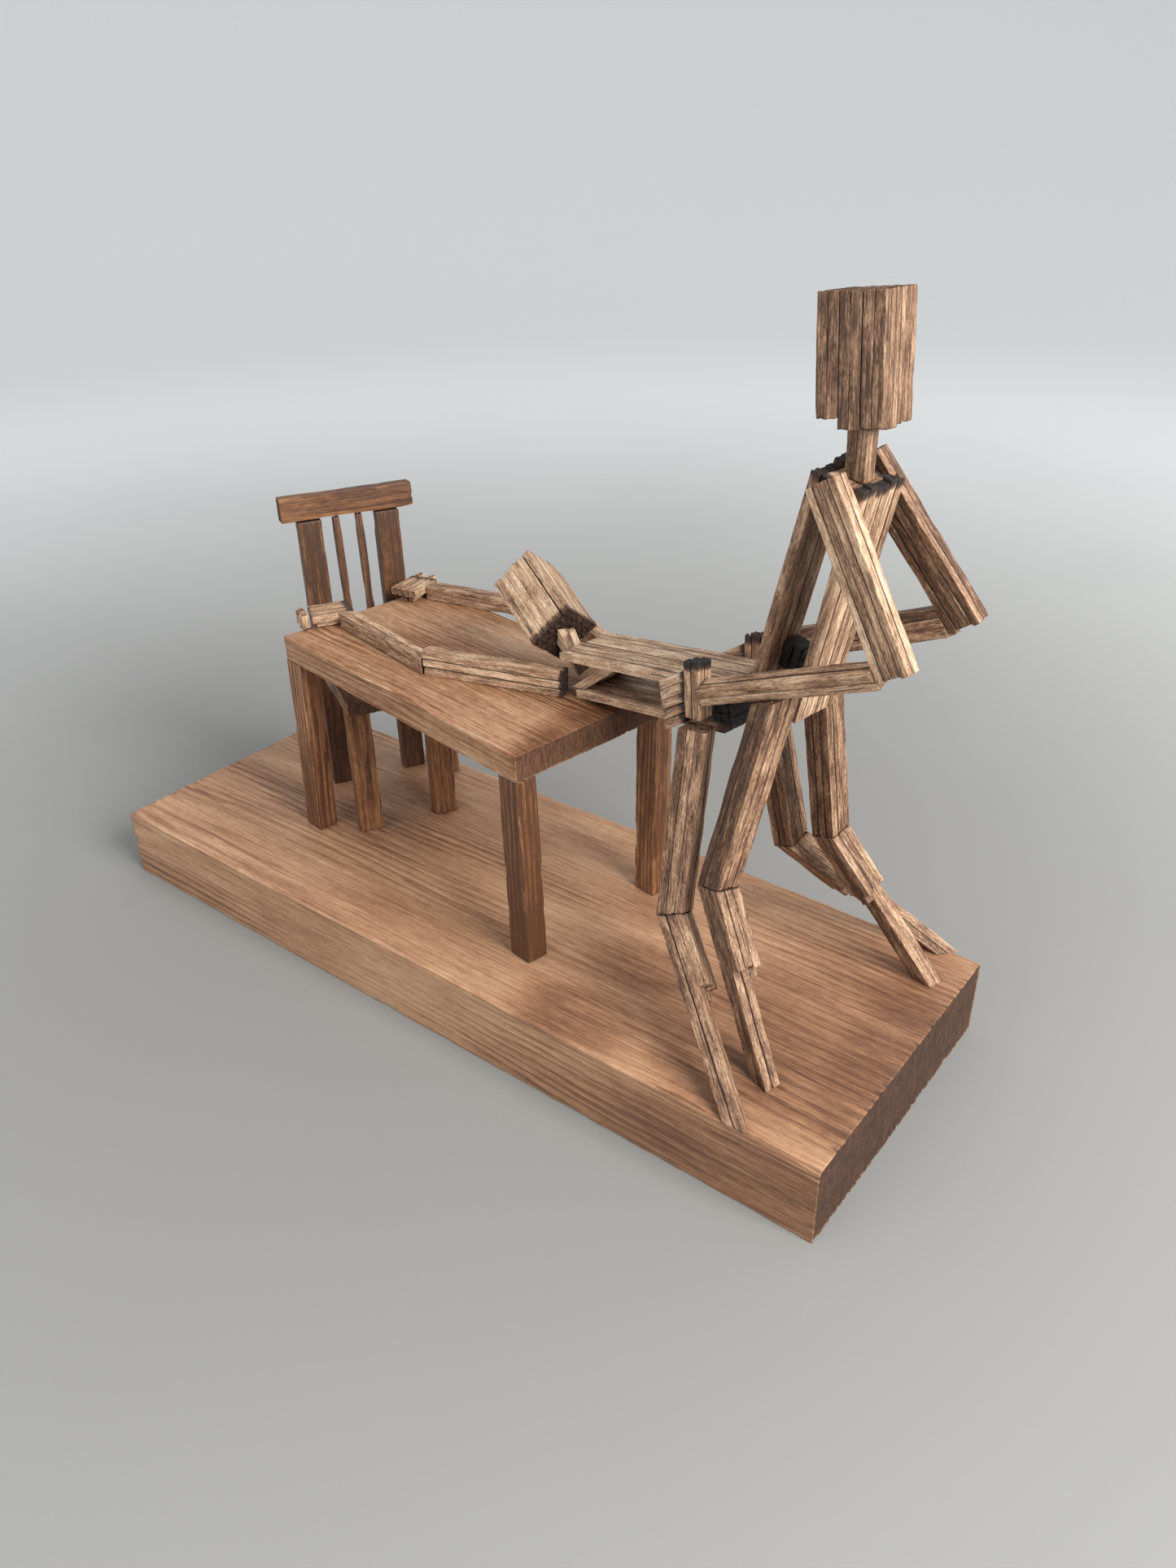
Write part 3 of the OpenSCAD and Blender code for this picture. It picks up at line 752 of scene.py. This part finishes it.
class Nodes:
    """Builds a node material in few words."""

    def __init__(self, name):
        self.material = bpy.data.materials.new(name)
        self.material.use_nodes = True
        self.tree = self.material.node_tree
        self.shader = self.tree.nodes["Principled BSDF"]

    def add(self, kind, inputs=(), output=0, **settings):
        """One shader node with its inputs linked or set. Gives the output asked for."""
        node = self.tree.nodes.new("ShaderNode" + kind)
        for key, value in settings.items():
            setattr(node, key, value)
        for key, value in dict(inputs).items():
            if isinstance(value, bpy.types.NodeSocket):
                self.tree.links.new(value, node.inputs[key])
            else:
                node.inputs[key].default_value = value
        return node.outputs[output]

    def attribute(self, name, vector=False):
        """A value that the mesh carries at its points."""
        node = self.tree.nodes.new("ShaderNodeAttribute")
        node.attribute_name = name
        return node.outputs["Vector" if vector else "Fac"]

    def math(self, operation, a, b=0.0, clamp=False):
        """One operation on one or two numbers or sockets."""
        return self.add("Math", {0: a, 1: b}, operation=operation, use_clamp=clamp)

    def noise(self, vector, across, along, detail=3.0, rough=0.6):
        """Noise stretched along the grain: how fine it is across and along."""
        stretched = self.add("VectorMath", {0: vector, 1: (across, across, along)}, operation="MULTIPLY")
        settings = {"Vector": stretched, "Scale": 1.0, "Detail": detail, "Roughness": rough}
        return self.add("TexNoise", settings)

    def band(self, value, low, high):
        """0 below low, 1 above high, smooth between."""
        settings = {"Value": value, "From Min": low, "From Max": high}
        return self.add("MapRange", settings, interpolation_type="SMOOTHSTEP")

    def rescale(self, noise, low, high):
        """A noise value stretched to run from low to high."""
        settings = {"Value": noise, "From Min": 0.3, "From Max": 0.7, "To Min": low, "To Max": high}
        return self.add("MapRange", settings)

    def spread(self, noise, amount):
        """A noise value made to swing round 0."""
        return self.math("MULTIPLY", self.math("SUBTRACT", noise, 0.5), amount)

    def ramp(self, value, tones):
        """A colour from a row of tones, palest first."""
        node = self.tree.nodes.new("ShaderNodeValToRGB")
        stops = node.color_ramp.elements
        while len(stops) < len(tones):
            stops.new(0.5)
        for k, tone in enumerate(tones):
            stops[k].position = k / (len(tones) - 1)
            stops[k].color = (*tone, 1)
        self.tree.links.new(value, node.inputs[0])
        return node.outputs[0]

    def mix(self, share, a, b):
        """The colour a, turned into b as share goes from 0 to 1."""
        node = self.tree.nodes.new("ShaderNodeMix")
        node.data_type = "RGBA"
        for key, value in (("Factor", share), ("A", a), ("B", b)):
            socket = next(s for s in node.inputs if s.name == key and s.enabled)
            if isinstance(value, bpy.types.NodeSocket):
                self.tree.links.new(value, socket)
            else:
                socket.default_value = value if key == "Factor" else (*value, 1)
        return next(s for s in node.outputs if s.enabled)

    def finish(self, colour, roughness, height, distance, bump):
        """Links the surface: its colour, its roughness, and bumps this far high and this strong."""
        normal = self.add("Bump", {"Strength": bump, "Distance": distance, "Height": height})
        for key, value in (("Base Color", colour), ("Roughness", roughness), ("Normal", normal)):
            self.tree.links.new(value, self.shader.inputs[key])
        return self.material


def match_wood():
    """Stained aspen: grey-tan to brown sticks, dark streaks, specks, burnt tips, and painted light on
    the window side.
    """
    m = Nodes("match_wood")
    grain = m.attribute("grain", vector=True)
    tone, seam, rub = m.attribute("tone"), m.attribute("seam"), m.attribute("rub")
    char, end = m.attribute("char"), m.attribute("end")
    streak = m.noise(grain, 1.3, 0.09, 5.0, 0.75)
    patch = m.noise(grain, 0.4, 0.1, 3.0)
    fibre = m.noise(grain, 4.2, 0.75, 3.0, 0.7)
    split = m.noise(grain, 1.9, 0.08, 2.0, 0.5)
    speck = m.noise(grain, 3.4, 0.9, 2.0, 0.6)

    depth = m.math("ADD", tone, m.spread(patch, 1.2))
    depth = m.math("ADD", depth, m.spread(streak, 1.35))
    depth = m.math("ADD", depth, m.spread(fibre, 1.35))
    depth = m.math("SUBTRACT", depth, m.math("MULTIPLY", rub, 0.3))
    # Painted light: faces turned towards the window light, along +x, are painted paler
    painted_window_light = m.add("SeparateXYZ", {0: m.add("NewGeometry", output="Normal")})
    depth = m.math("SUBTRACT", depth, m.math("MULTIPLY", m.band(painted_window_light, 0.2, 0.95), 0.11))
    base = m.ramp(depth, MATCH_TONES)
    cracks = m.band(split, 0.65, 0.69)
    worn = m.math("ADD", m.math("MULTIPLY", m.band(patch, 0.38, 0.56), 0.65), 0.35)
    specks = m.math("MULTIPLY", m.band(speck, 0.57, 0.65), worn)
    base = m.mix(m.math("MULTIPLY", cracks, 0.8), base, SPLIT_BROWN)
    base = m.mix(m.math("MULTIPLY", specks, 0.62), base, SPECK_BROWN)
    # Dark glue lines between sticks, and painted contact shade where a piece meets another
    base = m.mix(m.math("MULTIPLY", seam, 0.82), base, SPLIT_BROWN)
    base = m.mix(m.math("MULTIPLY", end, 0.62), base, FRAYED_BROWN)
    base = m.mix(m.math("MULTIPLY", m.band(char, 0.0, 0.45), 0.93), base, SCORCHED_BROWN)
    soot = m.mix(m.band(fibre, 0.4, 0.68), CHARCOAL, GREY_CHARCOAL)
    base = m.mix(m.band(char, 0.4, 0.8), base, soot)

    height = m.math("SUBTRACT", m.math("MULTIPLY", fibre, 0.6), m.math("MULTIPLY", cracks, 0.9))
    height = m.math("ADD", height, m.math("MULTIPLY", streak, 1.2))
    roughness = m.rescale(fibre, 0.48, 0.8)
    m.shader.inputs["Specular IOR Level"].default_value = 0.4
    return m.finish(base, roughness, height, 0.16 * MM, 0.9)


def year_rings(m, grain, ring):
    """Growth rings round the tree's heart: high in late wood, with weaker fine rings added."""
    wander = m.noise(grain, 0.03, 0.006, 2.0, 0.5)
    ripple = m.noise(grain, 0.16, 0.012, 3.0, 0.6)
    flat = m.add("VectorMath", {0: grain, 1: (1, 1, 0)}, operation="MULTIPLY")
    radius = m.add("VectorMath", {0: flat}, output="Value", operation="LENGTH")
    radius = m.math("ADD", radius, m.math("MULTIPLY", wander, 9.0))
    radius = m.math("ADD", radius, m.math("MULTIPLY", ripple, 5.0))
    year = m.math("FRACT", m.math("DIVIDE", radius, ring))
    late = m.math("MULTIPLY", m.band(year, 0.25, 0.85), m.band(year, 1.0, 0.9))
    fade = m.band(m.noise(grain, 0.05, 0.008, 2.0, 0.5), 0.36, 0.62)
    late = m.math("MULTIPLY", late, fade)
    fine_year = m.math("FRACT", m.math("DIVIDE", radius, ring * 0.37))
    return m.math("ADD", late, m.math("MULTIPLY", m.band(fine_year, 0.3, 0.9), 0.3))


def sawn_end(m, grain, end_tone):
    """The rough cut across the fibres: its height and its colour."""
    sawn = m.add("VectorMath", {0: grain, 1: (1.3, 0.22, 1.0)}, operation="MULTIPLY")
    sawn = m.add("TexNoise", {"Vector": sawn, "Scale": 1.0, "Detail": 4.0, "Roughness": 0.7})
    deep, raised = (tuple(share * v for v in end_tone) for share in (0.45, 1.5))
    return sawn, m.mix(m.band(sawn, 0.35, 0.68), deep, raised)


def board_wood(name, tones, stain_and_shade, end_tone, ring, ring_depth, mottled):
    """Stained pine with growth rings round the tree's heart, fine fibres and resin lines."""
    m = Nodes(name)
    grain = m.attribute("grain", vector=True)
    tone, seam, rub = m.attribute("tone"), m.attribute("seam"), m.attribute("rub")
    end, dirt_and_shade = m.attribute("end"), m.attribute("stain_and_shade")
    fibre = m.noise(grain, 2.2, 0.05, 5.0, 0.72)
    pores = m.noise(grain, 2.6, 0.3, 2.0, 0.5)
    patch = m.noise(grain, 0.06, 0.016, 3.0, 0.55)
    mottle = m.noise(grain, 0.8, 0.28, 4.0, 0.65)

    late = year_rings(m, grain, ring)
    # Soft dark patches of dirt and painted shade dim the rings and darken the wood
    clear = m.math("SUBTRACT", 1.0, m.math("MULTIPLY", dirt_and_shade, 0.6))
    depth = m.math("ADD", tone, m.math("MULTIPLY", m.math("MULTIPLY", late, clear), ring_depth))
    depth = m.math("ADD", depth, m.spread(fibre, 1.3))
    depth = m.math("ADD", depth, m.spread(patch, 0.9))
    depth = m.math("ADD", depth, m.spread(mottle, mottled))
    depth = m.math("SUBTRACT", depth, m.math("MULTIPLY", rub, 0.25))
    depth = m.math("ADD", depth, m.math("MULTIPLY", dirt_and_shade, 0.5))
    base = m.ramp(depth, tones)
    lines = m.band(pores, 0.62, 0.7)
    base = m.mix(m.math("MULTIPLY", lines, 0.4), base, stain_and_shade)
    uneven = m.math("ADD", m.spread(pores, 1.6), m.spread(mottle, 1.2))
    grime_and_shade = m.math("MULTIPLY", dirt_and_shade, m.band(uneven, 0.0, 1.0))
    base = m.mix(m.math("MULTIPLY", grime_and_shade, 0.6, clamp=True), base, stain_and_shade)
    # Glue lines, and painted contact shade where other pieces stand on or meet the board
    base = m.mix(m.math("MULTIPLY", seam, 0.6), base, tuple(0.4 * v for v in stain_and_shade))

    sawn, dark_end = sawn_end(m, grain, end_tone)
    base = m.mix(m.math("MULTIPLY", end, 0.92), base, dark_end)

    height = m.math("ADD", m.math("MULTIPLY", fibre, 1.0), m.math("MULTIPLY", late, 0.15))
    height = m.math("ADD", height, m.math("MULTIPLY", m.math("MULTIPLY", sawn, end), 2.0))
    height = m.math("SUBTRACT", height, m.math("MULTIPLY", lines, 0.4))
    roughness = m.rescale(fibre, 0.4, 0.62)
    roughness = m.math("ADD", roughness, m.math("MULTIPLY", end, 0.3))
    m.shader.inputs["Specular IOR Level"].default_value = 0.42
    return m.finish(base, roughness, height, 0.1 * MM, 0.6)


# ---------------------------------------------------------------- floor, lights and camera


def pale_cloth():
    """Plain off-white; painted shade near the object, under the window light and in folds; painted light
    up the sweep.
    """
    m = Nodes("pale_cloth")
    place = m.add("TexCoord", output="Object")
    away = m.add("VectorMath", {0: place}, output="Value", operation="LENGTH")
    weave = m.noise(place, 700.0, 700.0, 2.0, 0.5)
    soft = m.noise(place, 6.0, 6.0, 2.0, 0.5)
    # Painted shade near and under the object, turning into painted light up the sweep
    base = m.mix(m.band(away, 0.08, 0.88), CLOTH_NEAR, CLOTH_FAR)
    # Painted shade under the window light, toning down the pool of light that it throws on the floor
    below_window = (*WINDOW_AT[:2], 0)
    under = m.add("VectorMath", {0: place, 1: below_window}, output="Value", operation="DISTANCE")
    beside = m.band(m.add("SeparateXYZ", {0: place}), 0.15, 0.55)
    base = m.mix(m.math("MULTIPLY", m.band(under, 1.25, 0.2), beside), base, CLOTH_SHADE_UNDER_WINDOW)
    # Painted shade of soft folds in the cloth near the object
    fold_shade = m.math("MULTIPLY", m.band(soft, 0.4, 0.7), m.band(away, 0.9, 0.3))
    base = m.mix(m.math("MULTIPLY", fold_shade, 0.08), base, CLOTH_FOLD_SHADE)
    rough = m.add("MapRange", {"Value": weave, "To Min": 0.85, "To Max": 0.95})
    m.shader.inputs["Specular IOR Level"].default_value = 0.1
    return m.finish(base, rough, weave, 0.05 * MM, 0.3)


def pale_floor():
    """A round studio sweep: flat under the object, curving up far outside it."""
    profile = [(0.0, 0.0), (FLOOR_FLAT * 0.5, 0.0), (FLOOR_FLAT, 0.0)]
    for i in range(1, RISE_STEPS + 1):
        angle = math.pi / 2 * i / RISE_STEPS
        profile.append((FLOOR_FLAT + FLOOR_RISE * math.sin(angle), FLOOR_RISE * (1 - math.cos(angle))))
    count = FLOOR_SIDES
    points, faces = [(0, 0, 0)], []
    for r, z in profile[1:]:
        for i in range(count):
            a = 2 * math.pi * i / count
            points.append((r * math.cos(a), r * math.sin(a), z))
    for i in range(count):
        faces.append((0, 1 + i, 1 + (i + 1) % count))
    for row in range(len(profile) - 2):
        for i in range(count):
            low, high = 1 + row * count, 1 + (row + 1) * count
            k = (i + 1) % count
            faces.append((low + i, high + i, high + k, low + k))
    mesh = bpy.data.meshes.new("floor")
    mesh.from_pydata(points, [], faces)
    mesh.polygons.foreach_set("use_smooth", [True] * len(mesh.polygons))
    floor = bpy.data.objects.new("floor", mesh)
    bpy.context.scene.collection.objects.link(floor)
    mesh.materials.append(pale_cloth())


def soft_light(name, at, power, size, colour):
    """A square softbox that faces the object."""
    light = bpy.data.lights.new(name, "AREA")
    light.energy, light.size, light.color = power, size, colour
    lamp = bpy.data.objects.new(name, light)
    lamp.location = at
    lamp.rotation_euler = (LIGHTS_FACE - Vector(at)).to_track_quat("-Z", "Y").to_euler()
    bpy.context.scene.collection.objects.link(lamp)


def studio():
    """The softboxes, a pale sky all round, and colours shown as they are."""
    for name, settings in LIGHTS.items():
        soft_light(name, *settings)
    world = bpy.data.worlds.new("studio")
    world.use_nodes = True
    sky = world.node_tree.nodes["Background"]
    sky.inputs["Color"].default_value = SKY_COLOUR
    sky.inputs["Strength"].default_value = SKY_STRENGTH
    bpy.context.scene.world = world
    bpy.context.scene.view_settings.view_transform = "Standard"


def camera():
    """The camera at the photograph's place."""
    data = bpy.data.cameras.new("camera")
    data.lens, data.sensor_width = CAMERA_LENS, CAMERA_SENSOR
    data.clip_start = 0.01
    cam = bpy.data.objects.new("camera", data)
    cam.location = CAMERA_AT
    cam.rotation_euler = Euler([math.radians(v) for v in CAMERA_TURN])
    bpy.context.scene.collection.objects.link(cam)
    bpy.context.scene.camera = cam


# ---------------------------------------------------------------- the whole


def wooden_pieces():
    """Every CAD node, rebuilt in the wood that the record's material slot names."""
    slots = {s["node"]: s["material_slot"] for s in frame["record"]["subparts"]}
    woods = {"match_wood": match_wood()}
    woods.update((name, board_wood(name, **kind)) for name, kind in BOARDS.items())
    woods["charred_match"] = woods["match_wood"]
    solids = {node: solids_of(node) for node in sorted(frame["nodes"])}
    find_neighbours([s for group in solids.values() for s in group])
    for number, node in enumerate(sorted(solids)):
        piece = wood_piece(node, solids[node], woods[slots[node]], number)
        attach(piece, "root")
        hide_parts(node)


camera()
pale_floor()
studio()
wooden_pieces()
